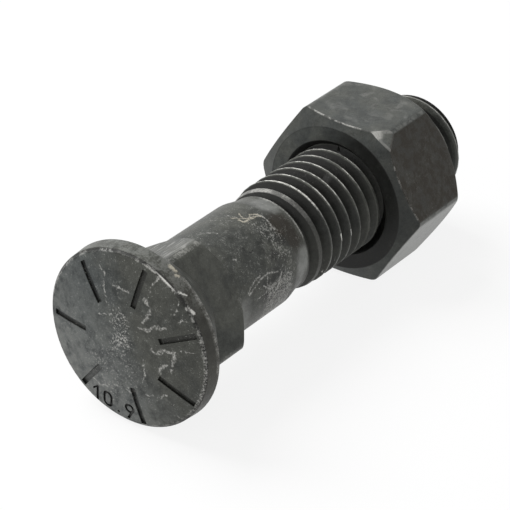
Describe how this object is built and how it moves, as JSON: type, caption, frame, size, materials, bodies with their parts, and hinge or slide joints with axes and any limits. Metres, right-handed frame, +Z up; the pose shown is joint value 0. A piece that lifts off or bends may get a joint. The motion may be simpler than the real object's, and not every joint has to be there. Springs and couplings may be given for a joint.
{
  "type": "domed plow bolt with hex nut",
  "caption": "Domed countersunk bolt with radial grade lines, a square neck, a plain shank and a coarse thread, with its hex nut run on.",
  "frame": {"origin": "centre of the base of the box round the part as it lies on a level surface", "axes": "+X along the bolt from its head to its threaded end, tipped down by 1.1 degrees; +Z up; +Y to the side"},
  "size_m": [0.0708, 0.027, 0.026],
  "materials": {
    "bolt_steel": "black oxide, satin, worn bright along its edges",
    "nut_steel": "black oxide, satin, worn bright along its edges"
  },
  "bodies": {
    "bolt": {"bolt": "bolt_steel"},
    "nut": {"nut": "nut_steel"}
  },
  "joints": [
    {"name": "nut_travel", "type": "slide", "parent": "bolt", "child": "nut", "axis": [0.9998, 0, -0.0191], "range_m": [-0.01155, 0.03002]}
  ]
}
